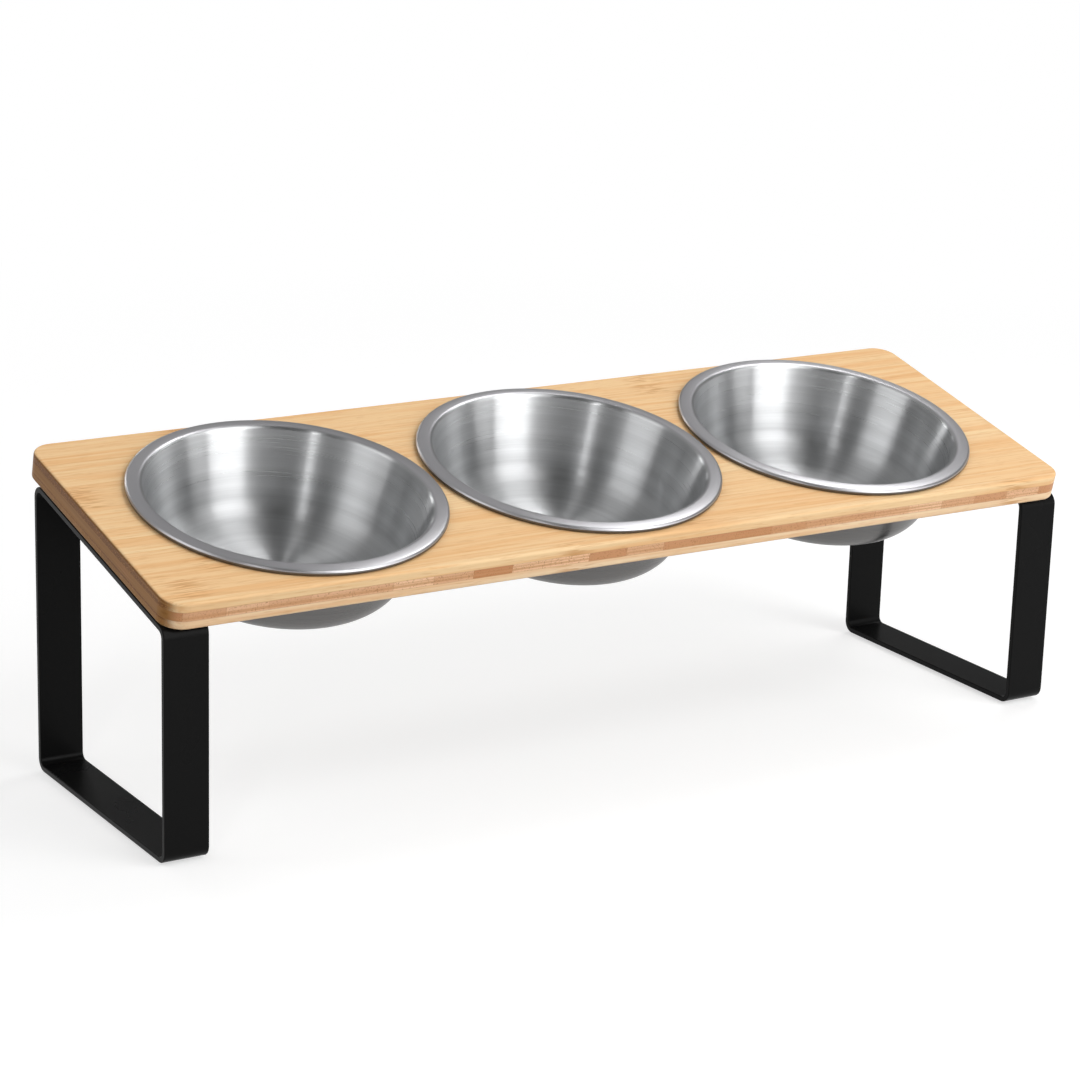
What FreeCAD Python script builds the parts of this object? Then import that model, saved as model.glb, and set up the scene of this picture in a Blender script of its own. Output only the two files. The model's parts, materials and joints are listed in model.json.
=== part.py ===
# Elevated cat feeder: a tilted three-ply bamboo board on two loops of bent flat bar, with three steel
# bowls that hang by their rims in its holes and lift out. Millimetres and degrees, +Z up, the row of
# bowls along X, the low edge of the board towards -Y, and the origin on the floor under the board's middle.
import FreeCAD, Part
import os
import re
import Sketcher

SIZES = {
    # board: what the bowls' rims need, plus margins
    "bowl_end_margin": 19.5,
    "bowl_side_margin": 3.2,
    "top_ply_thickness": 4.0,
    "core_ply_thickness": 4.0,
    "bottom_ply_thickness": 4.0,
    "board_corner_radius": 10.0,
    "board_edge_radius": 1.2,
    "hole_edge_radius": 0.6,
    "board_tilt": 13.0,
    "board_height": 128.5,
    # bowls: heights count from the rim's seat on the board
    "bowl_rim_diameter": 138.0,
    "bowl_rim_gap": 2.5,
    "bowl_flange_width": 8.0,
    "bowl_flange_rise": 0.5,
    "bowl_depth": 40.0,
    "bowl_wall_angle": 15.0,
    "bowl_corner_radius": 16.0,
    "bowl_sheet": 0.7,
    "bowl_shoulder_radius": 3.0,
    "bowl_hem_height": 2.6,
    "bowl_hem_width": 2.4,
    "bowl_hem_crown_radius": 1.4,
    "bowl_hem_foot_radius": 0.6,
    "bowl_base_ring_width": 10.4,
    "bowl_base_disc_rise": 0.8,
    "bowl_seat_clearance": 0.1,
    "bowl_hole_clearance": 0.8,
    # legs: one closed loop of flat bar under each end of the board
    "bar_width": 20.0,
    "bar_thickness": 2.5,
    "bar_bend_radius": 3.0,
    "bar_edge_radius": 0.4,
    "leg_end_inset": 0.1,
    "leg_front_inset": 2.4,
    "leg_back_inset": 10.0,
    # pan-head screws up through the loop's top bar into the board
    "screw_diameter": 4.0,
    "screw_setback": 24.0,
    "screw_head_diameter": 8.0,
    "screw_head_height": 2.6,
    "screw_head_radius": 1.3,
    "screw_recess_length": 4.4,
    "screw_recess_width": 1.0,
    "screw_recess_depth": 1.5,
    "screw_tip_length": 2.5,
    "screw_tip_gap": 0.5,
    "screw_thread_pitch": 1.4,
    "screw_thread_depth": 0.5,
    "screw_bar_clearance": 0.3,
    "screw_pilot_clearance": 0.05,
    # anti-slip pads under the loop's bottom bar
    "pad_length": 16.0,
    "pad_width": 14.0,
    "pad_thickness": 1.0,
    "pad_corner_radius": 2.5,
    "pad_setback": 9.0,
    # how far a cut runs past the solid, and the most of a wall that a rounding may take
    "overrun": 1.0,
    "rounding_share": 0.45,
}

BOWLS = ("left_bowl", "middle_bowl", "right_bowl")
SIDES = {"left": "-1", "right": "1"}
FULL_TURN = 360
RIGHT_ANGLE = 90
TINY_SHARE = 1e-6

# Lengths that several pieces share, written in the sheet's names.
BOARD_THICKNESS = "(top_ply_thickness + core_ply_thickness + bottom_ply_thickness)"
BOWL_PITCH = "(bowl_rim_diameter + bowl_rim_gap)"
ROW_LENGTH = f"({len(BOWLS)} * {BOWL_PITCH} - bowl_rim_gap)"
BOARD_LENGTH = f"({ROW_LENGTH} + 2 * bowl_end_margin)"
BOARD_DEPTH = "(bowl_rim_diameter + 2 * bowl_side_margin)"
MOUTH_RADIUS = "(bowl_rim_diameter / 2 - bowl_flange_width)"
WALL_ACROSS = "(bowl_sheet / cos(bowl_wall_angle))"
HOLE_RADIUS = f"({MOUTH_RADIUS} + {WALL_ACROSS} + bowl_hole_clearance)"
LEG_ACROSS = f"({BOARD_LENGTH} / 2 - leg_end_inset - bar_width / 2)"
BOARD_REACH = f"{BOARD_DEPTH} / 2 * cos(board_tilt)"
UNDERSIDE_SHIFT = f"{BOARD_THICKNESS} / 2 * sin(board_tilt)"
LEG_FRONT = f"({UNDERSIDE_SHIFT} - {BOARD_REACH} + leg_front_inset)"
LEG_BACK = f"({UNDERSIDE_SHIFT} + {BOARD_REACH} - leg_back_inset)"
PILOT_RADIUS = "(screw_diameter / 2 + screw_pilot_clearance)"
SCREW_LENGTH = "(bar_thickness + bottom_ply_thickness + core_ply_thickness - screw_tip_gap)"
# Places of a leg's screws along the board, from its middle line.
SCREW_PLACES = (
    f"(-{BOARD_DEPTH} / 2 + (leg_front_inset + screw_setback) / cos(board_tilt))",
    f"({BOARD_DEPTH} / 2 - (leg_back_inset + screw_setback) / cos(board_tilt))",
)

doc = FreeCAD.newDocument("elevated_cat_feeder")
sheet = doc.addObject("Spreadsheet::Sheet", "Sizes")
for row, (alias, number) in enumerate(SIZES.items(), 1):
    sheet.set(f"A{row}", alias)
    sheet.set(f"B{row}", str(number))
    sheet.setAlias(f"B{row}", alias)
doc.recompute()


def bound(text):
    """The expression with each size named as a cell of the sheet."""
    return re.sub(r"[a-z_]+", lambda word: f"Sizes.{word[0]}" if word[0] in SIZES else word[0], text)


def size(text):
    """The expression's value now."""
    return float(sheet.evalExpression(bound(text)))


def limited(radius, *walls):
    """A rounding's radius, kept within a share of the walls that it takes from."""
    return f"min({radius}; rounding_share * min({'; '.join(walls)}))"


def new_body(label):
    body = doc.addObject("PartDesign::Body", label)
    body.Label = label
    return body


def origin_feature(body, role):
    return next(feature for feature in body.Origin.OriginFeatures if feature.Role == role)


def new_sketch(body, plane, name):
    sketch = body.newObject("Sketcher::SketchObject", name)
    sketch.AttachmentSupport = [(origin_feature(body, plane), "")]
    sketch.MapMode = "FlatFace"
    return sketch


def hold_point(sketch, geometry, point, across, up):
    """Hold a point of the sketch at its distances from the sketch's origin."""
    for kind, axis, text in (("DistanceX", -2, across), ("DistanceY", -1, up)):
        value = size(text)
        if abs(value) < TINY_SHARE:
            sketch.addConstraint(Sketcher.Constraint("PointOnObject", geometry, point, axis))
            continue
        ends = (-1, 1, geometry, point) if value > 0 else (geometry, point, -1, 1)
        number = sketch.addConstraint(Sketcher.Constraint(kind, *ends, abs(value)))
        sketch.setExpression(f"Constraints[{number}]", bound(text if value > 0 else f"-({text})"))


def draw_outline(sketch, corners):
    """A closed outline of straight edges through the corners."""
    places = [FreeCAD.Vector(size(across), size(up), 0) for across, up in corners]
    first = sketch.GeometryCount
    for start, end in zip(places, places[1:] + places[:1]):
        sketch.addGeometry(Part.LineSegment(start, end), False)
    for number, (across, up) in enumerate(corners):
        before = first + (number - 1) % len(corners)
        sketch.addConstraint(Sketcher.Constraint("Coincident", before, 2, first + number, 1))
        hold_point(sketch, first + number, 1, across, up)


def draw_circle(sketch, across, up, radius):
    centre = FreeCAD.Vector(size(across), size(up), 0)
    circle = sketch.addGeometry(Part.Circle(centre, FreeCAD.Vector(0, 0, 1), size(radius)), False)
    hold_point(sketch, circle, 3, across, up)
    number = sketch.addConstraint(Sketcher.Constraint("Radius", circle, size(radius)))
    sketch.setExpression(f"Constraints[{number}]", bound(radius))


def rectangle(length, depth):
    """The corners of a rectangle about the sketch's origin."""
    return [(f"{x} * {length} / 2", f"{y} * {depth} / 2") for x, y in ((-1, -1), (1, -1), (1, 1), (-1, 1))]


def add_feature(body, kind, name, sketch, **sizes):
    """A feature made from a sketch, with its sizes bound to the sheet."""
    feature = body.newObject(f"PartDesign::{kind}", name)
    feature.Profile = sketch
    for prop, text in sizes.items():
        feature.setExpression(prop, bound(text))
    return feature


def turn_profile(body, kind, name, sketch):
    """A profile turned about the body's Z axis."""
    feature = add_feature(body, kind, name, sketch)
    feature.ReferenceAxis = (origin_feature(body, "Z_Axis"), [""])
    feature.Angle = FULL_TURN
    return feature


def repeat_along(body, feature, axis, length, count):
    """Copies of a feature along one of the body's axes, from the first to the last over the length."""
    pattern = body.newObject("PartDesign::LinearPattern", f"{feature.Name}_row")
    pattern.Originals = [feature]
    pattern.Direction = (origin_feature(body, axis), [""])
    pattern.setExpression("Length", bound(length))
    pattern.setExpression("Occurrences", bound(count))
    body.Tip = pattern
    return pattern


def round_edges(body, name, radius, wanted):
    """Round the edges of the body so far that the test picks."""
    doc.recompute()
    base = body.Tip
    edges = [f"Edge{number}" for number, edge in enumerate(base.Shape.Edges, 1) if wanted(edge)]
    fillet = body.newObject("PartDesign::Fillet", name)
    fillet.Base = (base, edges)
    fillet.setExpression("Radius", bound(radius))


def near(value, text):
    return abs(value - size(text)) < TINY_SHARE * size(BOARD_LENGTH)


def runs_along(edge, direction):
    """Whether the edge is straight and parallel to the direction."""
    if not isinstance(edge.Curve, Part.Line):
        return False
    return abs(edge.tangentAt(edge.FirstParameter).dot(direction)) > 1 - TINY_SHARE


def lies_at_height(edge, height):
    return all(near(vertex.Point.z, height) for vertex in edge.Vertexes) and near(edge.CenterOfMass.z, height)


def is_ring(edge, radius):
    """Whether the edge is a whole circle of that radius."""
    return isinstance(edge.Curve, Part.Circle) and edge.isClosed() and near(edge.Curve.Radius, radius)


def set_place(item, across, along, height, tilt="0"):
    """Put an object at a place in its frame, tilted about X."""
    item.Placement.Rotation = FreeCAD.Rotation(FreeCAD.Vector(1, 0, 0), size(tilt))
    turned = size(tilt) != 0
    if turned:
        item.setExpression("Placement.Rotation.Angle", bound(tilt))
    for axis, text in (("x", across), ("y", along), ("z", height)):
        item.setExpression(f"Placement.Base.{axis}", bound(text))


def set_on_board(item, across, along="0", below="0"):
    """Put an object square to the board, at a place along it and at a depth below its top face."""
    y = f"-{UNDERSIDE_SHIFT} + ({along}) * cos(board_tilt) + ({below}) * sin(board_tilt)"
    z = f"board_height + ({along}) * sin(board_tilt) - ({below}) * cos(board_tilt)"
    set_place(item, across, y, z, "board_tilt")


def ply(label, thickness, below, eased_face=None, pilot_holes=False):
    """One ply of the board, from its top face down, with the bowls' holes and the screws' pilot holes."""
    body = new_body(label)
    outline = new_sketch(body, "XY_Plane", f"{label}_outline")
    draw_outline(outline, rectangle(BOARD_LENGTH, BOARD_DEPTH))
    add_feature(body, "Pad", f"{label}_sheet", outline, Length=thickness).Reversed = True
    up = FreeCAD.Vector(0, 0, 1)
    round_edges(body, f"{label}_corners", "board_corner_radius", lambda edge: runs_along(edge, up))
    if eased_face is not None:
        edge_radius = limited("board_edge_radius", thickness)
        round_edges(body, f"{label}_edge", edge_radius, lambda edge: lies_at_height(edge, eased_face))
    hole = new_sketch(body, "XY_Plane", f"{label}_hole")
    draw_circle(hole, f"-{len(BOWLS) - 1} * {BOWL_PITCH} / 2", "0", HOLE_RADIUS)
    first_hole = add_feature(body, "Pocket", f"{label}_bowl_hole", hole)
    first_hole.Type = "ThroughAll"
    repeat_along(body, first_hole, "X_Axis", f"{len(BOWLS) - 1} * {BOWL_PITCH}", str(len(BOWLS)))
    if eased_face is not None:
        hole_radius = limited("hole_edge_radius", thickness)

        def at_hole(edge):
            return is_ring(edge, HOLE_RADIUS) and lies_at_height(edge, eased_face)
        round_edges(body, f"{label}_hole_edges", hole_radius, at_hole)
    if pilot_holes:
        pilots = new_sketch(body, "XY_Plane", f"{label}_pilots")
        for side in SIDES.values():
            for along in SCREW_PLACES:
                draw_circle(pilots, f"{side} * {LEG_ACROSS}", along, PILOT_RADIUS)
        add_feature(body, "Pocket", f"{label}_pilot_holes", pilots).Type = "ThroughAll"
    set_on_board(body, "0", below=below)
    return body


def bowl(label, place):
    """A pressed sheet bowl with a stepped base, a sloping wall and a hemmed flange that sits on the board."""
    body = new_body(label)
    floor = "(bowl_sheet - bowl_depth)"
    slope = "tan(bowl_wall_angle)"
    inner_corner = f"({MOUTH_RADIUS} + {floor} * {slope})"
    corner_reach = f"(bowl_corner_radius * tan(({RIGHT_ANGLE} - bowl_wall_angle) / 2))"
    disc_foot = f"({inner_corner} - {corner_reach} - bowl_base_ring_width)"
    disc = f"({disc_foot} - bowl_base_disc_rise)"
    rim = "bowl_rim_diameter / 2"
    shoulder = "(bowl_hem_height + bowl_flange_rise)"
    hem_inside = f"{rim} - bowl_hem_width"
    corners = {
        "disc_centre": ("0", f"{floor} + bowl_base_disc_rise"),
        "disc_edge": (disc, f"{floor} + bowl_base_disc_rise"),
        "disc_foot": (disc_foot, floor),
        "inner_corner": (inner_corner, floor),
        "inner_shoulder": (f"{MOUTH_RADIUS} + {shoulder} * {slope}", shoulder),
        "hem_top": (rim, "bowl_hem_height"),
        "hem_outside": (rim, "0"),
        "hem_inside": (hem_inside, "0"),
        "hem_root": (hem_inside, "bowl_hem_height - bowl_sheet"),
        "outer_shoulder": (
            f"{MOUTH_RADIUS} + ({shoulder} - bowl_sheet) * {slope} + {WALL_ACROSS}",
            f"{shoulder} - bowl_sheet",
        ),
        "outer_corner": (f"{MOUTH_RADIUS} - bowl_depth * {slope} + {WALL_ACROSS}", "-bowl_depth"),
        "under_disc_foot": (disc_foot, "-bowl_depth"),
        "under_disc_edge": (disc, "bowl_base_disc_rise - bowl_depth"),
        "under_disc_centre": ("0", "bowl_base_disc_rise - bowl_depth"),
    }
    profile = new_sketch(body, "XZ_Plane", f"{label}_profile")
    draw_outline(profile, list(corners.values()))
    turn_profile(body, "Revolution", f"{label}_pressing", profile)

    def ring_at(corner):
        radius, height = corners[corner]
        return lambda edge: is_ring(edge, radius) and lies_at_height(edge, height)
    hem_crown = "min(bowl_hem_crown_radius; (1 - rounding_share) * bowl_hem_height)"
    hem_foot = limited("bowl_hem_foot_radius", "bowl_hem_height", "bowl_hem_width")
    for corner, radius in (
        ("inner_corner", "bowl_corner_radius"),
        ("outer_corner", "bowl_corner_radius + bowl_sheet"),
        ("inner_shoulder", "bowl_shoulder_radius + bowl_sheet"),
        ("outer_shoulder", "bowl_shoulder_radius"),
        ("hem_top", hem_crown),
        ("hem_outside", hem_foot),
        ("hem_inside", hem_foot),
    ):
        round_edges(body, f"{label}_{corner}", radius, ring_at(corner))
    set_on_board(body, f"{place} * {BOWL_PITCH}", below="-bowl_seat_clearance")
    return body


def underside(along):
    """The height of the board's underside over a place along the floor."""
    return f"(board_height - {BOARD_THICKNESS} / cos(board_tilt)" \
           f" + (({along}) + {UNDERSIDE_SHIFT}) * tan(board_tilt))"


def leg_frame(side):
    """A closed loop of flat bar: flat on its pads, upright at front and back, tilted along the board."""
    label = f"{side}_leg_frame"
    body = new_body(label)
    loop = new_sketch(body, "YZ_Plane", f"{label}_loop")
    outer = {"front": LEG_FRONT, "back": LEG_BACK}
    inner = {"front": f"({LEG_FRONT} + bar_thickness)", "back": f"({LEG_BACK} - bar_thickness)"}
    for ends, foot, drop in (
        (outer, "pad_thickness", "0"),
        (inner, "pad_thickness + bar_thickness", "bar_thickness / cos(board_tilt)"),
    ):
        draw_outline(loop, [
            (ends["front"], foot),
            (ends["back"], foot),
            (ends["back"], f"{underside(ends['back'])} - {drop}"),
            (ends["front"], f"{underside(ends['front'])} - {drop}"),
        ])
    add_feature(body, "Pad", f"{label}_bar", loop, Length="bar_width").Midplane = True
    sideways = FreeCAD.Vector(1, 0, 0)

    def on_face(edge, front, back):
        """Whether the edge crosses the bar at one of two places along the loop."""
        return runs_along(edge, sideways) and any(near(edge.CenterOfMass.y, place) for place in (front, back))
    for name, ends, radius in (
        ("outer_bends", outer, "bar_bend_radius + bar_thickness"),
        ("inner_bends", inner, "bar_bend_radius"),
    ):
        round_edges(body, f"{label}_{name}", radius, lambda edge: on_face(edge, ends["front"], ends["back"]))
    edge_radius = limited("bar_edge_radius", "bar_thickness")
    half_width = "bar_width / 2"
    round_edges(body, f"{label}_edges", edge_radius, lambda edge: near(abs(edge.CenterOfMass.x), half_width))
    for number, along in enumerate(SCREW_PLACES, 1):
        hole = body.newObject("PartDesign::SubtractiveCylinder", f"{label}_screw_hole_{number}")
        hole.setExpression("Radius", bound("screw_diameter / 2 + screw_bar_clearance"))
        hole.setExpression("Height", bound("bar_thickness + 2 * overrun"))
        set_on_board(hole, "0", along, f"{BOARD_THICKNESS} + bar_thickness + overrun")
    set_place(body, f"{SIDES[side]} * {LEG_ACROSS}", "0", "0")
    return body


def screw(label):
    """A pan-head wood screw, point up, with its head's seat at height 0."""
    body = new_body(label)
    head = "screw_head_diameter / 2"
    shank = "screw_diameter / 2"
    profile = new_sketch(body, "XZ_Plane", f"{label}_profile")
    draw_outline(profile, [
        ("0", "-screw_head_height"),
        (head, "-screw_head_height"),
        (head, "0"),
        (shank, "0"),
        (shank, f"{SCREW_LENGTH} - screw_tip_length"),
        ("0", SCREW_LENGTH),
    ])
    turn_profile(body, "Revolution", f"{label}_blank", profile)
    head_radius = limited("screw_head_radius", "screw_head_height", head)
    round_edges(body, f"{label}_crown", head_radius,
                lambda edge: is_ring(edge, head) and lies_at_height(edge, "-screw_head_height"))
    thread = new_sketch(body, "XZ_Plane", f"{label}_thread")
    draw_outline(thread, [
        (f"{shank} - screw_thread_depth", "bar_thickness + screw_thread_pitch / 2"),
        (PILOT_RADIUS, "bar_thickness"),
        (PILOT_RADIUS, "bar_thickness + screw_thread_pitch"),
    ])
    turns = f"floor(({SCREW_LENGTH} - screw_tip_length - bar_thickness) / screw_thread_pitch)"
    first_turn = turn_profile(body, "Groove", f"{label}_thread_turn", thread)
    repeat_along(body, first_turn, "Z_Axis", f"({turns} - 1) * screw_thread_pitch", turns)
    arm = "screw_recess_length / 2"
    web = "screw_recess_width / 2"
    recess = new_sketch(body, "XY_Plane", f"{label}_recess")
    recess.setExpression("AttachmentOffset.Base.z", bound("-screw_head_height"))
    draw_outline(recess, [
        (f"-{web}", f"-{arm}"), (web, f"-{arm}"), (web, f"-{web}"), (arm, f"-{web}"),
        (arm, web), (web, web), (web, arm), (f"-{web}", arm),
        (f"-{web}", web), (f"-{arm}", web), (f"-{arm}", f"-{web}"), (f"-{web}", f"-{web}"),
    ])
    add_feature(body, "Pocket", f"{label}_cross", recess, Length="screw_recess_depth").Reversed = True
    return body


def leg_screws(side):
    """A leg's screws, as one group of separate solids."""
    screws = []
    for place, along in zip(("front", "back"), SCREW_PLACES):
        item = screw(f"{side}_{place}_screw")
        set_on_board(item, f"{SIDES[side]} * {LEG_ACROSS}", along, f"{BOARD_THICKNESS} + bar_thickness")
        screws.append(item)
    group = doc.addObject("Part::Compound", f"{side}_leg_screws")
    group.Label = f"{side}_leg_screws"
    group.Links = screws
    return group


def foot_pad(side, end, along):
    """A thin anti-slip pad stuck under the loop's bottom bar."""
    label = f"{side}_{end}_foot_pad"
    body = new_body(label)
    outline = new_sketch(body, "XY_Plane", f"{label}_outline")
    draw_outline(outline, rectangle("pad_width", "pad_length"))
    add_feature(body, "Pad", f"{label}_sheet", outline, Length="pad_thickness")
    up = FreeCAD.Vector(0, 0, 1)
    corner_radius = limited("pad_corner_radius", "pad_width", "pad_length")
    round_edges(body, f"{label}_corners", corner_radius, lambda edge: runs_along(edge, up))
    set_place(body, f"{SIDES[side]} * {LEG_ACROSS}", along, "0")
    return body


nodes = [
    ply("board_top_ply", "top_ply_thickness", "0", eased_face="0"),
    ply("board_core_ply", "core_ply_thickness", "top_ply_thickness", pilot_holes=True),
    ply("board_bottom_ply", "bottom_ply_thickness", "top_ply_thickness + core_ply_thickness",
        eased_face="-bottom_ply_thickness", pilot_holes=True),
]
for number, bowl_name in enumerate(BOWLS):
    nodes.append(bowl(bowl_name, f"({number} - {len(BOWLS) - 1} / 2)"))
pad_middle = "(pad_setback + pad_length / 2)"
for side_name in SIDES:
    nodes.append(leg_frame(side_name))
    nodes.append(leg_screws(side_name))
    nodes.append(foot_pad(side_name, "front", f"{LEG_FRONT} + {pad_middle}"))
    nodes.append(foot_pad(side_name, "back", f"{LEG_BACK} - {pad_middle}"))
doc.recompute()

for item in doc.Objects:
    if "Invalid" in item.State or "Error" in item.State:
        raise RuntimeError(f"{item.Label} did not compute: {item.getStatusString()}")
for node in nodes:
    if node.Shape.isNull() or not node.Shape.isValid():
        raise RuntimeError(f"{node.Label} has no valid shape")

os.makedirs("parts", exist_ok=True)
for node in nodes:
    node.Shape.exportStep(f"parts/{node.Label}.step")
    print(node.Label, len(node.Shape.Solids), "solids", round(node.Shape.Volume, 1), "mm3")
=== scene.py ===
# Elevated cat feeder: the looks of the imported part. Metres and radians, in the part's own frame: +X along
# the row of bowls, +Y towards the board's high edge, +Z up, with the origin on the floor.
import json
import math

import bpy
from mathutils import Matrix, Vector


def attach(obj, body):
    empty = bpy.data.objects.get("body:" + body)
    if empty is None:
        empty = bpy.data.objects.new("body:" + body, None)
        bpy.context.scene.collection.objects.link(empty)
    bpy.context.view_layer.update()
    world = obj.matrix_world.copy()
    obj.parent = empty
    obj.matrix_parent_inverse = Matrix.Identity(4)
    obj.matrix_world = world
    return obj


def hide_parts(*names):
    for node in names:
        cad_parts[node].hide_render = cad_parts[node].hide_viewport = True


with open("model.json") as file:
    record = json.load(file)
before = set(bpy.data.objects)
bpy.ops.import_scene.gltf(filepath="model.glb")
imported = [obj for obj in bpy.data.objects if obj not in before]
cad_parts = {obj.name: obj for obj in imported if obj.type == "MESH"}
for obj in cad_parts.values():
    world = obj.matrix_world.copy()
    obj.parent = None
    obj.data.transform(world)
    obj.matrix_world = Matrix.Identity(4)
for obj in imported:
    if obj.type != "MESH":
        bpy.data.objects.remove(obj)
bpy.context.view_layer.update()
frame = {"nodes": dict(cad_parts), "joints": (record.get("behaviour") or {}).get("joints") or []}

MM = 0.001
FULL_TURN = 2 * math.pi
BOWLS = ("left_bowl", "middle_bowl", "right_bowl")
LEGS = ("left_leg_frame", "right_leg_frame")
SCREWS = ("left_leg_screws", "right_leg_screws")
PADS = ("left_front_foot_pad", "left_back_foot_pad", "right_front_foot_pad", "right_back_foot_pad")

# The board's own directions: along its front edge, square to its top face, as the bowls lift, and up its
# slope.
ALONG = Vector((1, 0, 0))
SQUARE = Vector(frame["joints"][0]["axis"]).normalized()
UPHILL = SQUARE.cross(ALONG)


def reach(node, direction):
    """How far a node's surface goes both ways along a direction."""
    places = [vertex.co.dot(direction) for vertex in frame["nodes"][node].data.vertices]
    return min(places), max(places)


def middle(node, direction):
    """The middle of a node's reach along a direction."""
    return sum(reach(node, direction)) / 2


BOARD_MIDDLE = (middle("board_top_ply", ALONG) * ALONG + middle("board_top_ply", UPHILL) * UPHILL
                + reach("board_top_ply", SQUARE)[1] * SQUARE)
CORE_MIDDLE = middle("board_core_ply", SQUARE) - BOARD_MIDDLE.dot(SQUARE)
CORE_THICKNESS = reach("board_core_ply", SQUARE)[1] - reach("board_core_ply", SQUARE)[0]

# Bowl: heights count from the rim's seat, where the hem's underside is. The roundings of the shoulder and of
# the hem's foot are this mesh's own, and differ a little from the solid's.
RIM_RADIUS = (reach("middle_bowl", ALONG)[1] - reach("middle_bowl", ALONG)[0]) / 2
SHEET = 0.7 * MM
FLANGE_WIDTH = 8.0 * MM
FLANGE_RISE = 0.5 * MM
HEM_HEIGHT = 2.6 * MM
HEM_WIDTH = 2.4 * MM
HEM_CROWN_RADIUS = 1.4 * MM
HEM_FOOT_RADIUS = 1.1 * MM
# Below this facing, the hem's side takes the underside's finish, a painted contact shadow where the rim meets
# the board.
HEM_SIDE_FACING = 0.4  # where the hem's top turns into its side, by how far a face looks up
WALL_ANGLE = math.radians(15)
CORNER_RADIUS = 16.0 * MM
SHOULDER_RADIUS = 1.6 * MM
BASE_RING_WIDTH = 10.4 * MM
BASE_STEP = 0.8 * MM
BASE_STEP_RADIUS = 0.5 * MM
BOWL_DEPTH = 40.0 * MM
BOWL_SEAT = {name: reach(name, SQUARE)[0] + BOWL_DEPTH for name in BOWLS}
BRUSH_TURN = {"left_bowl": 0.0, "middle_bowl": 2.1, "right_bowl": 4.0}

# Bowl's mesh: how many sides go round it and across its large and small roundings, how its faces join, and
# the order of its finishes.
BOWL_SIDES = 160
CORNER_SEGMENTS = 14
EDGE_SEGMENTS = 5
SMOOTH_ANGLE = math.radians(40)
RING_TOLERANCE = 0.01 * MM
WELD_DISTANCE = 0.001 * MM
INSIDE, RIM_TOP, SHADED_UNDERSIDE = range(3)

# Bamboo: pale, tan and brown of the long grain, dark and light of the cut ends, the lines in those ends, the
# specks of vessels and joints, and where the strips lie.
TOP_TONES = ("#F9D7A6", "#F0BD84", "#E0A266")
BOTTOM_TONES = ("#FBDFBA", "#F3C899", "#E3AE7C")
# The face plies' cut ends are darker partly in their own tone and partly as painted shade, for the board's
# end that stands in shade.
FACE_END_TONES_AND_SHADE = ("#91642F", "#A07039")
FACE_END_LINE = "#754923"
FACE_SPECK = "#C8894E"
FACE_STRIP_WIDTH = 20 * MM
FACE_STRIP_SHIFT = 5.4
# The core's long grain shows only at the board's ends; its tones are darker partly in their own tone and
# partly as painted shade.
CORE_TONES_AND_SHADE = ("#A4733C", "#926430", "#7F5226")
CORE_END_TONES = ("#CA8C60", "#FCD2AA")
CORE_END_LINE = "#D29A6C"
CORE_SPECK = "#B0784C"
CORE_STRIP_WIDTH = 19 * MM
CORE_STRIP_SHIFT = 0.3

# Photograph's camera: fitted to the board's edges, the legs and the bowls' rims.
CAMERA_AZIMUTH = math.radians(-32.08)
CAMERA_ELEVATION = math.radians(16.24)
CAMERA_ROLL = math.radians(1.69)
CAMERA_DISTANCE = 1.448
CAMERA_AIM = Vector((-0.00314, 0.0160, 0.08766))
CAMERA_LENS = 106.6
CAMERA_SENSOR = 36
CAMERA_CLIP = (0.05, 100)

# Studio lamps: azimuth and elevation in degrees, then distance, width and height in metres, and power in
# watts.
LAMPS = {
    "front_right_softbox": (22, 28, 1.5, 0.89, 1.7, 15),
    "right_softbox": (50, 28, 1.5, 0.47, 1.7, 3.0),
    "left_strip": (-45, 32, 1.5, 0.06, 1.2, 1.5),
    "left_softbox": (-92, 34, 1.6, 0.9, 1.2, 4.5),
    "top_softbox": (112, 52, 1.4, 0.5, 0.5, 4.0),
    "back_left_strip": (-168, 18, 1.5, 0.2, 0.8, 1.6),
    "back_right_strip": (172, 12, 1.5, 0.1, 0.5, 0.5),
}
FLOOR_SIZE = 24

# The Mix node's sockets by number, because their names repeat for each kind of data.
SHARE, NUMBER_A, NUMBER_B, COLOUR_A, COLOUR_B = 0, 2, 3, 6, 7
MIXED_NUMBER, MIXED_COLOUR = 0, 2


def colour(hex_value):
    """A linear colour from an sRGB hex value."""
    parts = [int(hex_value[start:start + 2], 16) / 255 for start in (1, 3, 5)]
    return [part / 12.92 if part <= 0.04045 else ((part + 0.055) / 1.055) ** 2.4 for part in parts] + [1.0]


def add_node(tree, kind, inputs=None, **settings):
    """A shader node with its settings, and with each input set to a value or linked to an output."""
    node = tree.nodes.new(f"ShaderNode{kind}")
    for name, value in settings.items():
        setattr(node, name, value)
    for socket, value in (inputs or {}).items():
        if isinstance(value, bpy.types.NodeSocket):
            tree.links.new(value, node.inputs[socket])
        else:
            node.inputs[socket].default_value = value
    return node


def new_material(name):
    """A material with an empty node tree."""
    material = bpy.data.materials.new(name)
    material.use_nodes = True
    material.node_tree.nodes.clear()
    return material


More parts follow.
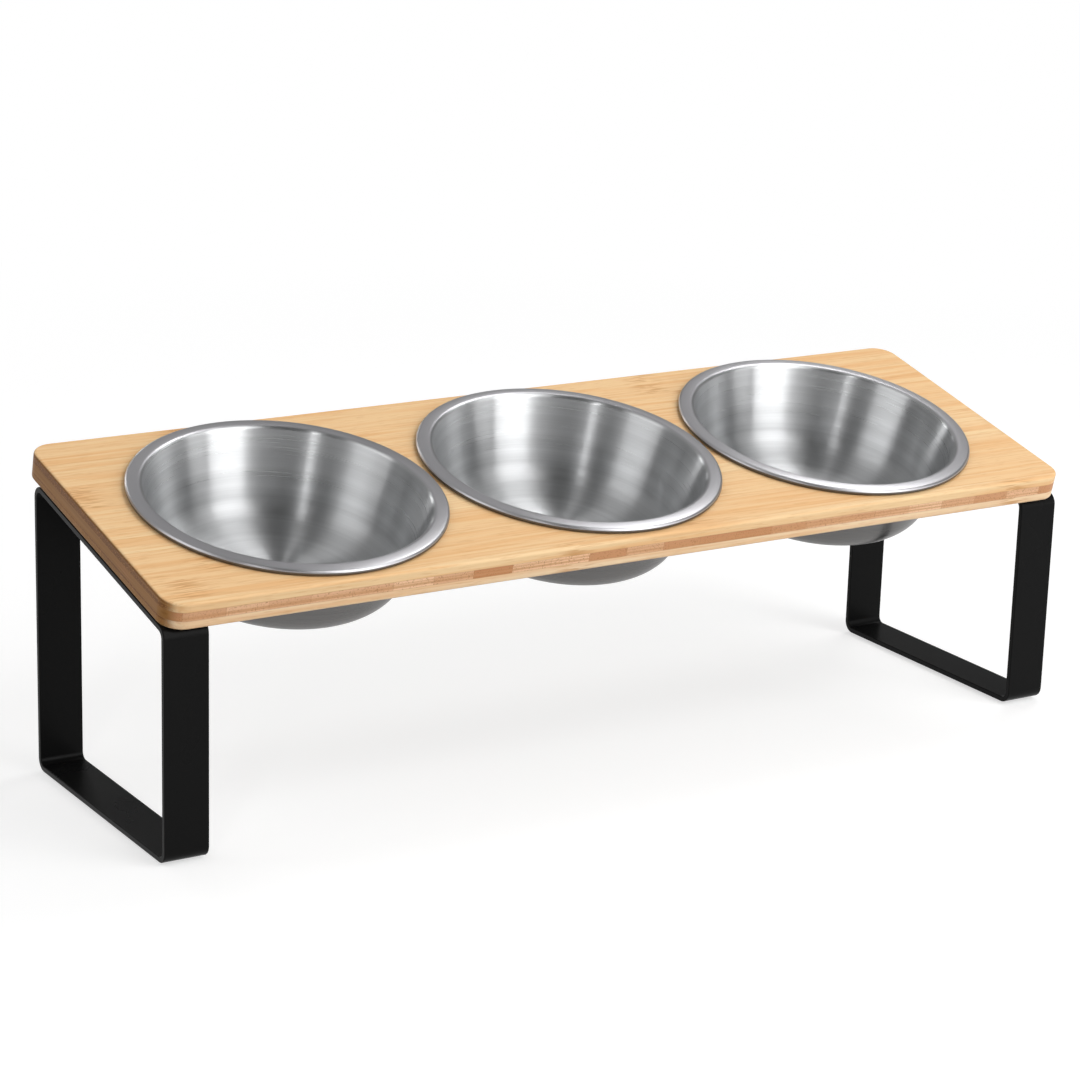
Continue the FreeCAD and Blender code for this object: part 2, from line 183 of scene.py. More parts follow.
def laminated_bamboo(name, fibre_way, long_tones, end_tones, end_line, speck, strip_width, strip_shift):
    """Strips of bamboo glued side by side, planed and lacquered. Each strip has its own tone, long wavy
    streaks between cream and tan, short brown vessel lines, and a patch of broken dashes where the cane had
    a joint. Cut ends drink the lacquer, so they have their own tones, and are dotted and finely layered.
    The tones passed in can also carry painted shade: the face plies' end tones and the core's long tones
    are darkened for the board's end that stands in shade."""
    # Size along the fibres, across the strip and through the ply, then detail and waviness. Real vessel lines
    # are finer: these are as coarse as they need to show.
    patterns = {
        "streaks": (110 * MM, 4.0 * MM, 4.0 * MM, 3.0, 0.3),
        "fibres": (60 * MM, 1.3 * MM, 1.3 * MM, 3.0, 0.2),
        "vessels": (8 * MM, 0.6 * MM, 0.6 * MM, 1.0, 0.0),
        "dashes": (12 * MM, 0.8 * MM, 0.8 * MM, 1.0, 0.3),
        "layers": (300 * MM, 300 * MM, 1.6 * MM, 2.0, 0.1),
    }
    joint_spacing, joint_width, joint_wander = 240 * MM, 14 * MM, 0.03
    seam_width, glue_width = 0.25 * MM, 0.3 * MM
    fibre_depth = 0.06 * MM
    pale, tan, brown = (colour(tone) for tone in long_tones)
    end_dark, end_light = (colour(tone) for tone in end_tones)
    material = new_material(name)
    tree = material.node_tree

    # The grain's own frame: X along the fibres, Y across the strips, Z square to the board.
    turn = Matrix((fibre_way, SQUARE.cross(fibre_way), SQUARE)).transposed().to_euler()
    spot = add_node(tree, "TexCoord").outputs
    grain = add_node(tree, "Mapping", {
        "Vector": spot["Object"], "Location": BOARD_MIDDLE, "Rotation": turn,
    }, vector_type="TEXTURE").outputs[0]
    axes = add_node(tree, "SeparateXYZ", {"Vector": grain}).outputs
    across = add_node(tree, "Math", {0: axes["Y"], 1: 1 / strip_width, 2: strip_shift},
                      operation="MULTIPLY_ADD").outputs[0]
    strip = add_node(tree, "Math", {0: across}, operation="FLOOR").outputs[0]
    chance = add_node(tree, "TexWhiteNoise", {"W": strip}, noise_dimensions="1D").outputs
    chances = add_node(tree, "SeparateColor", {"Color": chance["Color"]}).outputs

    # Each strip's fibres start at their own place, so that they don't run on across a seam. The layers do run
    # on.
    slide = add_node(tree, "CombineXYZ", {"X": chances[0], "Y": chances[1], "Z": chances[2]}).outputs[0]
    own = add_node(tree, "VectorMath", {0: slide, 1: grain}, operation="ADD").outputs[0]
    found = {}
    for pattern, (length, width, depth, detail, waver) in patterns.items():
        start = grain if pattern == "layers" else own
        stretched = add_node(tree, "Mapping", {"Vector": start, "Scale": (1 / length, 1 / width, 1 / depth)})
        found[pattern] = add_node(tree, "TexNoise", {
            "Vector": stretched.outputs[0], "Scale": 1.0, "Detail": detail, "Distortion": waver,
        }).outputs[0]

    # Long grain: the strip's tone, then its streaks and fibres.
    tone = add_node(tree, "MapRange", {"Value": chance["Value"], "To Min": 0.0, "To Max": 0.45}).outputs[0]
    base = add_node(tree, "Mix", {SHARE: tone, COLOUR_A: pale, COLOUR_B: tan},
                    data_type="RGBA").outputs[MIXED_COLOUR]
    amount = add_node(tree, "MapRange", {
        "Value": found["streaks"], "From Min": 0.44, "From Max": 0.66, "To Min": 0.0, "To Max": 0.8,
    }, interpolation_type="SMOOTHSTEP").outputs[0]
    base = add_node(tree, "Mix", {SHARE: amount, COLOUR_A: base, COLOUR_B: tan},
                    data_type="RGBA").outputs[MIXED_COLOUR]
    amount = add_node(tree, "MapRange", {
        "Value": found["fibres"], "From Min": 0.45, "From Max": 0.75, "To Min": 0.0, "To Max": 0.38,
    }, interpolation_type="SMOOTHSTEP").outputs[0]
    base = add_node(tree, "Mix", {SHARE: amount, COLOUR_A: base, COLOUR_B: brown},
                    data_type="RGBA").outputs[MIXED_COLOUR]

    # Joint patches: dashes gather close to each joint, and the patch's edge wanders with the streaks.
    run = add_node(tree, "Math", {0: axes["X"], 1: 1 / joint_spacing, 2: chances[0]},
                   operation="MULTIPLY_ADD").outputs[0]
    run = add_node(tree, "Math", {0: found["streaks"], 1: joint_wander, 2: run},
                   operation="MULTIPLY_ADD").outputs[0]
    off_joint = add_node(tree, "Math", {0: run, 1: 0.5}, operation="PINGPONG").outputs[0]
    patch = add_node(tree, "MapRange", {
        "Value": off_joint, "From Min": 0.0, "From Max": joint_width / joint_spacing,
        "To Min": 1.0, "To Max": 0.0,
    }, interpolation_type="SMOOTHSTEP").outputs[0]
    amount = add_node(tree, "MapRange", {
        "Value": found["dashes"], "From Min": 0.46, "From Max": 0.58, "To Min": 0.0, "To Max": 0.6,
    }, interpolation_type="SMOOTHSTEP").outputs[0]
    amount = add_node(tree, "Math", {0: patch, 1: amount}, operation="MULTIPLY").outputs[0]
    base = add_node(tree, "Mix", {SHARE: amount, COLOUR_A: base, COLOUR_B: colour(speck)},
                    data_type="RGBA").outputs[MIXED_COLOUR]

    # End grain shows on faces that the fibres run into.
    facing = add_node(tree, "VectorMath", {0: spot["Normal"], 1: fibre_way},
                      operation="DOT_PRODUCT").outputs["Value"]
    facing = add_node(tree, "Math", {0: facing}, operation="ABSOLUTE").outputs[0]
    end_grain = add_node(tree, "MapRange", {
        "Value": facing, "From Min": 0.5, "From Max": 0.95, "To Min": 0.0, "To Max": 1.0,
    }, interpolation_type="SMOOTHSTEP").outputs[0]
    ends = add_node(tree, "Mix", {SHARE: chance["Value"], COLOUR_A: end_dark, COLOUR_B: end_light},
                    data_type="RGBA").outputs[MIXED_COLOUR]
    amount = add_node(tree, "MapRange", {
        "Value": found["layers"], "From Min": 0.42, "From Max": 0.58, "To Min": 0.0, "To Max": 0.75,
    }, interpolation_type="SMOOTHSTEP").outputs[0]
    ends = add_node(tree, "Mix", {SHARE: amount, COLOUR_A: ends, COLOUR_B: colour(end_line)},
                    data_type="RGBA").outputs[MIXED_COLOUR]
    base = add_node(tree, "Mix", {SHARE: end_grain, COLOUR_A: base, COLOUR_B: ends},
                    data_type="RGBA").outputs[MIXED_COLOUR]

    # Vessels: faint lines along the grain, and clear dots on the ends.
    most = add_node(tree, "MapRange", {"Value": end_grain, "To Min": 0.25, "To Max": 0.8}).outputs[0]
    amount = add_node(tree, "MapRange", {
        "Value": found["vessels"], "From Min": 0.55, "From Max": 0.75, "To Min": 0.0, "To Max": most,
    }, interpolation_type="SMOOTHSTEP").outputs[0]
    base = add_node(tree, "Mix", {SHARE: amount, COLOUR_A: base, COLOUR_B: colour(speck)},
                    data_type="RGBA").outputs[MIXED_COLOUR]

    # A hair-thin glue line between strips.
    off_seam = add_node(tree, "Math", {0: across, 1: 0.5}, operation="PINGPONG").outputs[0]
    amount = add_node(tree, "MapRange", {
        "Value": off_seam, "From Min": 0.0, "From Max": seam_width / strip_width,
        "To Min": 0.3, "To Max": 0.0,
    }, interpolation_type="SMOOTHSTEP").outputs[0]
    base = add_node(tree, "Mix", {SHARE: amount, COLOUR_A: base, COLOUR_B: colour(speck)},
                    data_type="RGBA").outputs[MIXED_COLOUR]

    # Glue lines between the plies, at the two faces of the core.
    off_core = add_node(tree, "Math", {0: axes["Z"], 1: CORE_MIDDLE}, operation="SUBTRACT").outputs[0]
    off_core = add_node(tree, "Math", {0: off_core}, operation="ABSOLUTE").outputs[0]
    off_glue = add_node(tree, "Math", {0: off_core, 1: CORE_THICKNESS / 2}, operation="SUBTRACT").outputs[0]
    off_glue = add_node(tree, "Math", {0: off_glue}, operation="ABSOLUTE").outputs[0]
    amount = add_node(tree, "MapRange", {
        "Value": off_glue, "From Min": 0.0, "From Max": glue_width, "To Min": 0.25, "To Max": 0.0,
    }, interpolation_type="SMOOTHSTEP").outputs[0]
    base = add_node(tree, "Mix", {SHARE: amount, COLOUR_A: base, COLOUR_B: colour(end_line)},
                    data_type="RGBA").outputs[MIXED_COLOUR]

    # Satin lacquer over the fibres.
    rough = add_node(tree, "MapRange", {
        "Value": found["fibres"], "From Min": 0.2, "From Max": 0.8, "To Min": 0.38, "To Max": 0.52,
    }).outputs[0]
    bump = add_node(tree, "Bump", {"Strength": 0.25, "Distance": fibre_depth, "Height": found["fibres"]})
    shader = add_node(tree, "BsdfPrincipled", {
        "Base Color": base, "Roughness": rough, "Normal": bump.outputs[0], "IOR": 1.5,
        "Specular IOR Level": 0.12, "Coat Weight": 0.05, "Coat Roughness": 0.25,
    })
    add_node(tree, "OutputMaterial", {"Surface": shader.outputs[0]})
    return material


def black_powder_coat():
    """Polyester powder baked on steel: near black, satin, with a fine orange peel that softens its gloss."""
    peel_size, peel_depth = 0.8 * MM, 0.02 * MM
    patch_size = 40 * MM
    material = new_material("black_powder_coat")
    tree = material.node_tree
    place = add_node(tree, "TexCoord").outputs["Object"]
    peel = add_node(tree, "TexNoise", {"Vector": place, "Scale": 1 / peel_size, "Detail": 2.0}).outputs[0]
    patches = add_node(tree, "TexNoise", {"Vector": place, "Scale": 1 / patch_size, "Detail": 3.0}).outputs[0]
    rough = add_node(tree, "MapRange", {
        "Value": patches, "From Min": 0.3, "From Max": 0.7, "To Min": 0.26, "To Max": 0.34,
    }).outputs[0]
    tint = add_node(tree, "Mix", {SHARE: peel, COLOUR_A: colour("#0D0D0D"), COLOUR_B: colour("#131313")},
                    data_type="RGBA").outputs[MIXED_COLOUR]
    bump = add_node(tree, "Bump", {"Strength": 0.12, "Distance": peel_depth, "Height": peel}).outputs[0]
    shader = add_node(tree, "BsdfPrincipled", {
        "Base Color": tint, "Roughness": rough, "Normal": bump, "Specular IOR Level": 0.07,
    })
    add_node(tree, "OutputMaterial", {"Surface": shader.outputs[0]})
    return material


def brushed_stainless(name, tint, roughness, base_roughness, anisotropy, unevenness):
    """Stainless sheet pressed and then brushed round its axis: the fine rings stretch each reflection across
    them, into upright streaks on the wall and a star on the base, which is duller. The UV map is in metres, U
    round and V along the profile."""
    # Real brush lines are finer: these are as coarse as they need to show.
    line_length, line_width = 90 * MM, 0.5 * MM
    ring_width = 5 * MM
    base_end, wall_start = 46 * MM, 70 * MM  # along the profile from the base's middle
    wave_length, wave_depth = 9 * MM, 0.03 * MM
    line_place, wave_place = (13.37, 11.71, 0), (17.31, 12.57, 0)
    darkest, lightest = 1 - 0.12 * unevenness, 1 + 0.06 * unevenness
    rough_swing = 0.06 * unevenness
    material = new_material(name)
    tree = material.node_tree
    place = add_node(tree, "UVMap", uv_map="brush").outputs[0]
    axes = add_node(tree, "SeparateXYZ", {"Vector": place}).outputs

    # The noise lies on a cylinder, which has no seam where the turn closes, at a place off the noise's own
    # grid.
    angle = add_node(tree, "Math", {0: axes["X"], 1: 1 / RIM_RADIUS}, operation="MULTIPLY").outputs[0]
    east = add_node(tree, "Math", {0: angle}, operation="COSINE").outputs[0]
    north = add_node(tree, "Math", {0: angle}, operation="SINE").outputs[0]
    circle = add_node(tree, "CombineXYZ", {"X": east, "Y": north, "Z": axes["Y"]}).outputs[0]
    spread = RIM_RADIUS / line_length
    drawn = add_node(tree, "Mapping", {
        "Vector": circle, "Location": line_place, "Scale": (spread, spread, 1 / line_width),
    }).outputs[0]
    lines = add_node(tree, "TexNoise", {
        "Vector": drawn, "Scale": 1.0, "Detail": 3.0, "Roughness": 0.6,
    }).outputs[0]
    spread = RIM_RADIUS / wave_length
    bent = add_node(tree, "Mapping", {
        "Vector": circle, "Location": wave_place, "Scale": (spread, spread, 0),
    }).outputs[0]
    waves = add_node(tree, "TexNoise", {"Vector": bent, "Scale": 1.0, "Detail": 1.0}).outputs[0]
    turned = add_node(tree, "Math", {0: axes["Y"], 1: 1 / ring_width}, operation="MULTIPLY").outputs[0]
    rings = add_node(tree, "TexNoise", {"W": turned, "Scale": 1.0, "Detail": 2.0},
                     noise_dimensions="1D").outputs[0]

    # Lines and rings vary the tone, and lines the gloss.
    tone = add_node(tree, "Math", {0: lines, 1: rings}, operation="ADD").outputs[0]
    tone = add_node(tree, "MapRange", {
        "Value": tone, "From Min": 0.6, "From Max": 1.4, "To Min": darkest, "To Max": lightest,
    }).outputs[0]
    base = add_node(tree, "Mix", {SHARE: 1.0, COLOUR_A: colour(tint), COLOUR_B: tone},
                    data_type="RGBA", blend_type="MULTIPLY").outputs[MIXED_COLOUR]
    dull = add_node(tree, "MapRange", {
        "Value": axes["Y"], "From Min": base_end, "From Max": wall_start,
        "To Min": base_roughness, "To Max": roughness,
    }, interpolation_type="SMOOTHSTEP").outputs[0]
    rough = add_node(tree, "MapRange", {
        "Value": lines, "From Min": 0.3, "From Max": 0.7, "To Min": -rough_swing, "To Max": rough_swing,
    }).outputs[0]
    rough = add_node(tree, "Math", {0: dull, 1: rough}, operation="ADD").outputs[0]

    # Shallow waves round the sheet break the streaks' edges.
    bump = add_node(tree, "Bump", {"Strength": 0.3, "Distance": wave_depth * unevenness, "Height": waves})
    round_way = add_node(tree, "Tangent", direction_type="UV_MAP", uv_map="brush").outputs[0]
    shader = add_node(tree, "BsdfPrincipled", {
        "Base Color": base, "Metallic": 1.0, "Roughness": rough, "Anisotropic": anisotropy,
        "Anisotropic Rotation": 0.25, "Normal": bump.outputs[0], "Tangent": round_way,
    })
    add_node(tree, "OutputMaterial", {"Surface": shader.outputs[0]})
    return material


def zinc_plate():
    """Zinc plating on a turned screw: a grey metal, cloudy where the passivation is uneven."""
    cloud_size = 2 * MM
    material = new_material("zinc_plate")
    tree = material.node_tree
    place = add_node(tree, "TexCoord").outputs["Object"]
    cloud = add_node(tree, "TexNoise", {"Vector": place, "Scale": 1 / cloud_size, "Detail": 4.0}).outputs[0]
    tint = add_node(tree, "Mix", {SHARE: cloud, COLOUR_A: colour("#9FA1A3"), COLOUR_B: colour("#C4C5C4")},
                    data_type="RGBA").outputs[MIXED_COLOUR]
    rough = add_node(tree, "MapRange", {
        "Value": cloud, "From Min": 0.3, "From Max": 0.7, "To Min": 0.28, "To Max": 0.42,
    }).outputs[0]
    shader = add_node(tree, "BsdfPrincipled", {"Base Color": tint, "Metallic": 1.0, "Roughness": rough})
    add_node(tree, "OutputMaterial", {"Surface": shader.outputs[0]})
    return material


def foot_rubber():
    """Black EVA foam rubber, cut from sheet: dull, with a fine open-cell grain."""
    cell_size, cell_depth = 0.5 * MM, 0.1 * MM
    material = new_material("foot_rubber")
    tree = material.node_tree
    place = add_node(tree, "TexCoord").outputs["Object"]
    cells = add_node(tree, "TexVoronoi", {"Vector": place, "Scale": 1 / cell_size}).outputs["Distance"]
    tint = add_node(tree, "Mix", {SHARE: cells, COLOUR_A: colour("#161617"), COLOUR_B: colour("#242425")},
                    data_type="RGBA").outputs[MIXED_COLOUR]
    bump = add_node(tree, "Bump", {"Strength": 0.4, "Distance": cell_depth, "Height": cells}).outputs[0]
    shader = add_node(tree, "BsdfPrincipled", {"Base Color": tint, "Roughness": 0.85, "Normal": bump})
    add_node(tree, "OutputMaterial", {"Surface": shader.outputs[0]})
    return material


def studio_paper(grey, glow, near, far):
    """Matte white paper for the floor. To the eye and in reflections it is lifted to white: near the object
    it keeps the soft shadow, and far from it the lamps' falloff doesn't show."""
    material = new_material("studio_paper")
    tree = material.node_tree
    path = add_node(tree, "LightPath").outputs
    seen = add_node(tree, "Math", {0: path["Is Camera Ray"], 1: path["Is Glossy Ray"]},
                    operation="ADD").outputs[0]
    seen = add_node(tree, "Math", {0: seen, 1: path["Is Transmission Ray"]}, operation="ADD").outputs[0]
    place = add_node(tree, "TexCoord").outputs["Object"]
    away = add_node(tree, "VectorMath", {0: place}, operation="LENGTH").outputs["Value"]
    fade = add_node(tree, "MapRange", {
        "Value": away, "From Min": near, "From Max": far, "To Min": 0.0, "To Max": 1.0,
    }, interpolation_type="SMOOTHSTEP").outputs[0]
    lift = add_node(tree, "Math", {0: seen, 1: glow}, operation="MULTIPLY").outputs[0]
    hidden = add_node(tree, "Math", {0: seen, 1: fade}, operation="MULTIPLY").outputs[0]
    paper = add_node(tree, "BsdfDiffuse", {"Color": colour(grey)}).outputs[0]
    light = add_node(tree, "Emission", {"Strength": lift}).outputs[0]
    lit = add_node(tree, "AddShader", {0: paper, 1: light}).outputs[0]
    white = add_node(tree, "Emission", {"Strength": 1.0}).outputs[0]
    shader = add_node(tree, "MixShader", {0: hidden, 1: lit, 2: white})
    add_node(tree, "OutputMaterial", {"Surface": shader.outputs[0]})
    return material


def deselect_all():
    """Leave edit mode and select nothing."""
    if bpy.context.object and bpy.context.object.mode != "OBJECT":
        bpy.ops.object.mode_set(mode="OBJECT")
    bpy.ops.object.select_all(action="DESELECT")


def select_rings(piece, radius, height):
    """In edit mode, select the edges that lie on a circle about Z."""
    bpy.ops.object.mode_set(mode="OBJECT")
    mesh = piece.data
    for group in (mesh.polygons, mesh.edges, mesh.vertices):
        group.foreach_set("select", [False] * len(group))
    found = set()
    for vertex in mesh.vertices:
        off_radius = abs(vertex.co.xy.length - radius)
        off_height = abs(vertex.co.z - height)
        if off_radius < RING_TOLERANCE and off_height < RING_TOLERANCE:
            found.add(vertex.index)
    for edge in mesh.edges:
        edge.select = found.issuperset(edge.vertices)
    for vertex in mesh.vertices:
        vertex.select = vertex.index in found
    bpy.ops.object.mode_set(mode="EDIT")
    bpy.ops.mesh.select_mode(type="EDGE")


def bowl_profile():
    """The bowl's ring corners in order, from the base disc up the inside, over the hem and down the outside.
    Each is a radius, a height and the radius of its rounding."""
    mouth = RIM_RADIUS - FLANGE_WIDTH
    slope = math.tan(WALL_ANGLE)
    floor = SHEET - BOWL_DEPTH
    shoulder = HEM_HEIGHT + FLANGE_RISE
    wall = SHEET / math.cos(WALL_ANGLE)
    corner = mouth + floor * slope
    foot = corner - CORNER_RADIUS * math.tan((math.pi / 2 - WALL_ANGLE) / 2) - BASE_RING_WIDTH
    inside = [
        (foot - BASE_STEP, floor + BASE_STEP, BASE_STEP_RADIUS),
        (foot, floor, BASE_STEP_RADIUS),
        (corner, floor, CORNER_RADIUS),
        (mouth + shoulder * slope, shoulder, SHOULDER_RADIUS + SHEET),
    ]
    hem = [
        (RIM_RADIUS, HEM_HEIGHT, HEM_CROWN_RADIUS),
        (RIM_RADIUS, 0.0, HEM_FOOT_RADIUS),
        (RIM_RADIUS - HEM_WIDTH, 0.0, HEM_FOOT_RADIUS),
        (RIM_RADIUS - HEM_WIDTH, HEM_HEIGHT - SHEET, 0.0),
    ]
    outside = [
        (mouth + (shoulder - SHEET) * slope + wall, shoulder - SHEET, SHOULDER_RADIUS),
        (mouth - BOWL_DEPTH * slope + wall, -BOWL_DEPTH, CORNER_RADIUS + SHEET),
        (foot, -BOWL_DEPTH, BASE_STEP_RADIUS),
        (foot - BASE_STEP, BASE_STEP - BOWL_DEPTH, BASE_STEP_RADIUS),
    ]
    return inside + hem + outside


def rounding_reach(before, corner, after, radius):
    """How far along its two sides a rounding takes from a profile's corner."""
    point = Vector(corner[:2])
    one, two = Vector(before[:2]) - point, Vector(after[:2]) - point
    return radius / math.tan(one.angle(two) / 2)


def model_bowl():
    """A bowl at the origin, drawn up ring by ring from its base disc and then rounded, as it is pressed."""
    rings = bowl_profile()
    first_radius, first_height = rings[0][:2]
    last_height = rings[-1][1]
    deselect_all()
    bpy.ops.mesh.primitive_circle_add(vertices=BOWL_SIDES, radius=first_radius, fill_type="TRIFAN",
                                      calc_uvs=False, location=(0, 0, 0))
    piece = bpy.context.object
    bpy.ops.object.mode_set(mode="EDIT")
    bpy.ops.mesh.select_all(action="SELECT")
    bpy.ops.transform.translate(value=(0, 0, first_height))
    for before, after in zip(rings, rings[1:]):
        select_rings(piece, before[0], before[1])
        bpy.ops.mesh.extrude_edges_move()
        share = after[0] / before[0]
        bpy.ops.transform.resize(value=(share, share, 1), center_override=(0, 0, before[1]))
        bpy.ops.transform.translate(value=(0, 0, after[1] - before[1]))
    bpy.ops.mesh.edge_face_add()
    bpy.ops.mesh.poke()
    corners = [(0.0, first_height)] + rings + [(0.0, last_height)]
    for before, corner, after in zip(corners, corners[1:], corners[2:]):
        radius, height, rounding = corner
        if rounding == 0:
            continue
        select_rings(piece, radius, height)
        segments = CORNER_SEGMENTS if rounding >= CORNER_RADIUS else EDGE_SEGMENTS
        bpy.ops.mesh.bevel(offset=rounding_reach(before, corner, after, rounding), offset_type="OFFSET",
                           segments=segments, profile=0.5)
    bpy.ops.mesh.select_all(action="SELECT")
    bpy.ops.mesh.remove_doubles(threshold=WELD_DISTANCE)
    bpy.ops.mesh.normals_make_consistent(inside=False)
    bpy.ops.object.mode_set(mode="OBJECT")
    bpy.ops.object.shade_smooth_by_angle(angle=SMOOTH_ANGLE)
    return piece


def profile_length(place, corners):
    """How far along the bowl's profile a point lies, by its nearest side."""
    spot = Vector((place.xy.length, place.z))
    best, run = None, 0.0
    for start, end in zip(corners, corners[1:]):
        side = end - start
        share = min(max((spot - start).dot(side) / side.length_squared, 0.0), 1.0)
        away = (spot - start - share * side).length
        if best is None or away < best[0]:
            best = (away, run + share * side.length)
        run += side.length
    return best[1]


def lay_brush_map(piece):
    """A UV map in metres that follows the brushing: U round the rim's circle, V along the profile. A corner
    at the bowl's axis, which has no direction of its own, takes that of its face."""
    mesh = piece.data
    corners = [Vector(ring[:2]) for ring in bowl_profile()]
    corners = [Vector((0, corners[0].y))] + corners + [Vector((0, corners[-1].y))]
    lengths = [profile_length(vertex.co, corners) for vertex in mesh.vertices]
    brush_map = mesh.uv_layers.new(name="brush")
    for face in mesh.polygons:
        facing = math.atan2(face.center.y, face.center.x)
        for loop in face.loop_indices:
            number = mesh.loops[loop].vertex_index
            place = mesh.vertices[number].co
            aside = 0.0
            if place.xy.length > SHEET:
                aside = (math.atan2(place.y, place.x) - facing + math.pi) % FULL_TURN - math.pi
            brush_map.data[loop].uv = ((facing + aside) * RIM_RADIUS, lengths[number])


def finish_bowl_faces(piece, finishes):
    """Give the bowl's faces their finishes: the inside, the rim's top, and the underside, which takes in the
    hem's side. The underside's finish is the same steel with painted shade: darker under the bowl, and a
    painted contact shadow on the hem's side where it meets the board."""
    for finish in finishes:
        piece.data.materials.append(finish)
    flange = RIM_RADIUS - FLANGE_WIDTH + SHOULDER_RADIUS
    for face in piece.data.polygons:
        on_rim = face.center.z > -SHEET and face.center.xy.length > flange
        if on_rim and face.normal.z > HEM_SIDE_FACING:
            face.material_index = RIM_TOP
        elif on_rim or face.normal.z < 0:
            face.material_index = SHADED_UNDERSIDE
        else:
            face.material_index = INSIDE


def place_bowl(pattern, name):
    """A copy of the bowl in its hole in the board, with its brushing turned."""
    deselect_all()
    pattern.select_set(True)
    bpy.context.view_layer.objects.active = pattern
    bpy.ops.object.duplicate(linked=False)
    piece = bpy.context.object
    piece.name = f"{name}_pressing"
    axes = Matrix((ALONG, UPHILL, SQUARE)).transposed().to_4x4()
    seat = middle(name, ALONG) * ALONG + middle(name, UPHILL) * UPHILL + BOWL_SEAT[name] * SQUARE
    piece.matrix_world = Matrix.Translation(seat) @ axes @ Matrix.Rotation(BRUSH_TURN[name], 4, "Z")
    bpy.ops.object.transform_apply(location=True, rotation=True, scale=True)
    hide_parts(name)
    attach(piece, name)


def dress(nodes, material):
    """Give CAD nodes a material."""
    for name in nodes:
        slots = frame["nodes"][name].data.materials
        slots.clear()
        slots.append(material)


def around(azimuth, elevation):
    """The direction of a place around the object: azimuth 0 is the front, and turns to the right."""
    flat = Vector((math.sin(azimuth), -math.cos(azimuth), 0)) * math.cos(elevation)
    return flat + Vector((0, 0, math.sin(elevation)))


def softbox(name, azimuth, elevation, distance, width, height, power):
    """A rectangular studio lamp that faces the board."""
    lamp = bpy.data.lights.new(name, "AREA")
    lamp.shape = "RECTANGLE"
    lamp.size, lamp.size_y, lamp.energy = width, height, power
    away = around(math.radians(azimuth), math.radians(elevation))
    item = bpy.data.objects.new(name, lamp)
    item.location = BOARD_MIDDLE + away * distance
    item.rotation_euler = away.to_track_quat("Z", "Y").to_euler()
    bpy.context.scene.collection.objects.link(item)


def studio_world(front, back, left_fill, right_fill):
    """A cove that is white at the horizon and grey overhead, darker over the front, with a dark flag between
    that keeps the gloss of the legs black. Its even light on the object is weaker from the left."""
    world = bpy.data.worlds.new("studio")
    world.use_nodes = True
    tree = world.node_tree
    tree.nodes.clear()
    place = add_node(tree, "TexCoord").outputs["Generated"]
    axes = add_node(tree, "SeparateXYZ", {"Vector": place}).outputs
    overhead = add_node(tree, "MapRange", {
        "Value": axes["Z"], "From Min": 0.05, "From Max": 0.25, "To Min": 0.0, "To Max": 1.0,
    }, interpolation_type="SMOOTHSTEP").outputs[0]
    grey = add_node(tree, "MapRange", {
        "Value": axes["Y"], "From Min": -0.7, "From Max": 0.4, "To Min": front, "To Max": back,
    }).outputs[0]
    flag = add_node(tree, "MapRange", {
        "Value": axes["Z"], "From Min": 0.35, "From Max": 0.55, "To Min": 0.2, "To Max": 1.0,
    }, interpolation_type="SMOOTHSTEP").outputs[0]
    grey = add_node(tree, "Math", {0: grey, 1: flag}, operation="MULTIPLY").outputs[0]
    shown = add_node(tree, "Mix", {SHARE: overhead, NUMBER_A: 1.0, NUMBER_B: grey},
                     data_type="FLOAT").outputs[MIXED_NUMBER]
    even = add_node(tree, "MapRange", {
        "Value": axes["X"], "From Min": -1.0, "From Max": 1.0, "To Min": left_fill, "To Max": right_fill,
    }).outputs[0]
    path = add_node(tree, "LightPath").outputs
    lit = add_node(tree, "Mix", {SHARE: path["Is Diffuse Ray"], NUMBER_A: shown, NUMBER_B: even},
                   data_type="FLOAT").outputs[MIXED_NUMBER]
    light = add_node(tree, "Background", {"Color": colour("#FFFFFF"), "Strength": lit})
    add_node(tree, "OutputWorld", {"Surface": light.outputs[0]})
    bpy.context.scene.world = world


def stand_camera():
    """The photograph's camera."""
    camera = bpy.data.cameras.new("photo_camera")
    camera.lens = CAMERA_LENS
    camera.sensor_width = CAMERA_SENSOR
    camera.sensor_fit = "HORIZONTAL"
    camera.clip_start, camera.clip_end = CAMERA_CLIP
    item = bpy.data.objects.new("photo_camera", camera)
    turn = (Matrix.Rotation(CAMERA_AZIMUTH, 4, "Z") @ Matrix.Rotation(math.pi / 2 - CAMERA_ELEVATION, 4, "X")
            @ Matrix.Rotation(CAMERA_ROLL, 4, "Z"))
    spot = CAMERA_AIM + around(CAMERA_AZIMUTH, CAMERA_ELEVATION) * CAMERA_DISTANCE
    item.matrix_world = Matrix.Translation(spot) @ turn
    bpy.context.scene.collection.objects.link(item)
    bpy.context.scene.camera = item


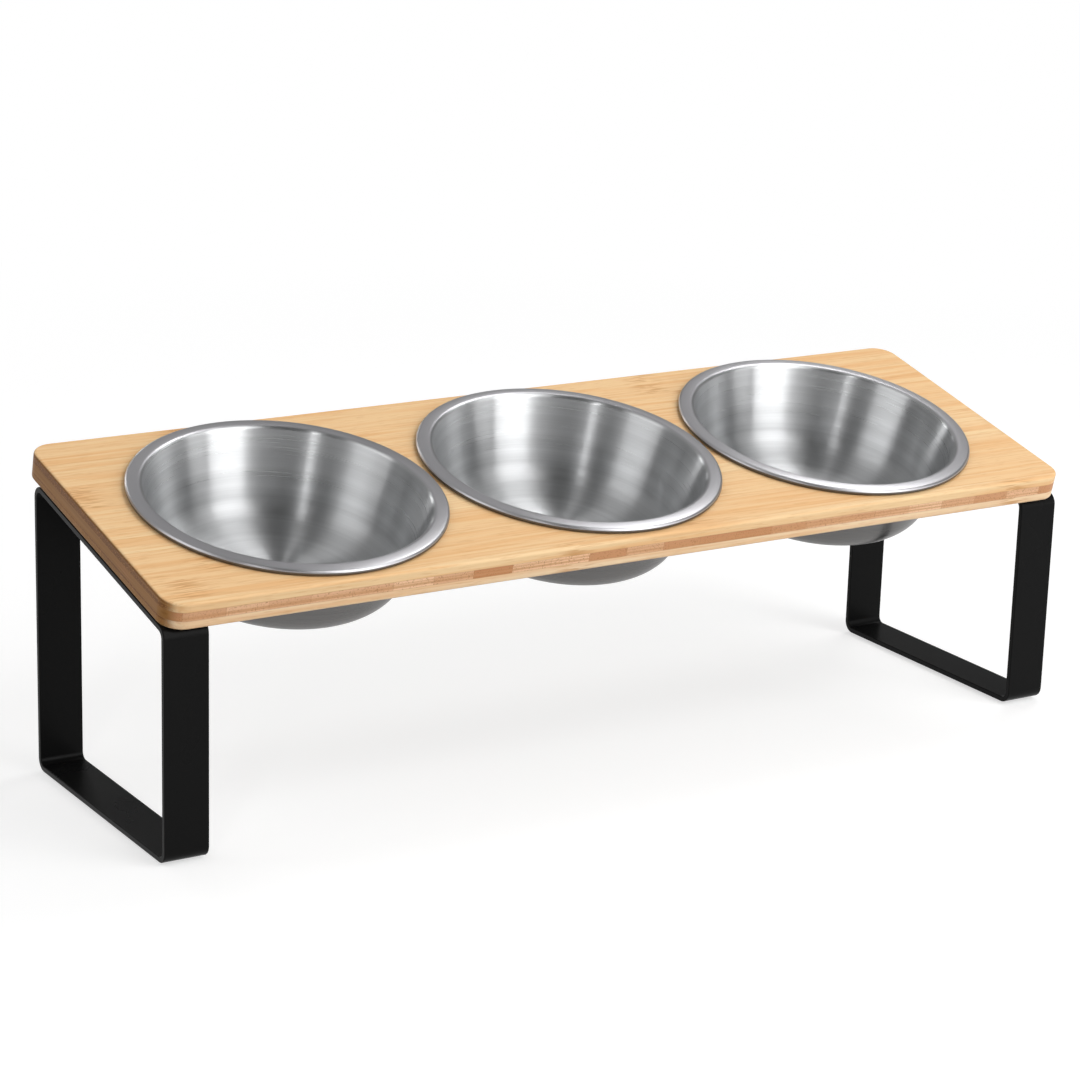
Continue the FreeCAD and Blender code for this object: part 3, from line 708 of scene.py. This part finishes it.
# Steel bowls.
bowl = model_bowl()
lay_brush_map(bowl)
finish_bowl_faces(bowl, (
    brushed_stainless("brushed_stainless_inside", tint="#D0D1D2", roughness=0.32, base_roughness=0.52,
                      anisotropy=1.0, unevenness=1.0),
    brushed_stainless("brushed_stainless_rim", tint="#C2C1C4", roughness=0.36, base_roughness=0.36,
                      anisotropy=0.5, unevenness=0.3),
    # The underside's dark tint is painted shade: the same steel as inside, darkened under the bowl and on the
    # hem's side.
    brushed_stainless("stainless_underside_painted_shade", tint="#6C6B6A", roughness=0.30, base_roughness=0.30,
                      anisotropy=0.8, unevenness=1.0),
))
for bowl_name in BOWLS:
    place_bowl(bowl, bowl_name)
bpy.data.objects.remove(bowl)

# Bamboo board, powder-coated legs, screws and pads: the CAD nodes with their finishes.
dress(("board_top_ply",), laminated_bamboo(
    "bamboo_top", fibre_way=ALONG, long_tones=TOP_TONES, end_tones=FACE_END_TONES_AND_SHADE,
    end_line=FACE_END_LINE, speck=FACE_SPECK, strip_width=FACE_STRIP_WIDTH, strip_shift=FACE_STRIP_SHIFT,
))
dress(("board_bottom_ply",), laminated_bamboo(
    "bamboo_bottom", fibre_way=ALONG, long_tones=BOTTOM_TONES, end_tones=FACE_END_TONES_AND_SHADE,
    end_line=FACE_END_LINE, speck=FACE_SPECK, strip_width=FACE_STRIP_WIDTH, strip_shift=FACE_STRIP_SHIFT,
))
dress(("board_core_ply",), laminated_bamboo(
    "bamboo_core", fibre_way=UPHILL, long_tones=CORE_TONES_AND_SHADE, end_tones=CORE_END_TONES,
    end_line=CORE_END_LINE, speck=CORE_SPECK, strip_width=CORE_STRIP_WIDTH, strip_shift=CORE_STRIP_SHIFT,
))
dress(LEGS, black_powder_coat())
dress(SCREWS, zinc_plate())
dress(PADS, foot_rubber())

# Studio: a white floor and cove, two large lamps at the front right, one high at the right, two at the left
# and two strips behind.
deselect_all()
bpy.ops.mesh.primitive_plane_add(size=FLOOR_SIZE, location=(0, 0, 0))
floor = bpy.context.object
floor.name = "studio_floor"
floor.data.materials.append(studio_paper(grey="#C0C0C0", glow=0.60, near=0.5, far=1.1))
studio_world(front=0.025, back=0.4, left_fill=0.17, right_fill=0.42)
for lamp_name, lamp_setting in LAMPS.items():
    softbox(lamp_name, *lamp_setting)
stand_camera()
bpy.context.scene.view_settings.view_transform = "Standard"
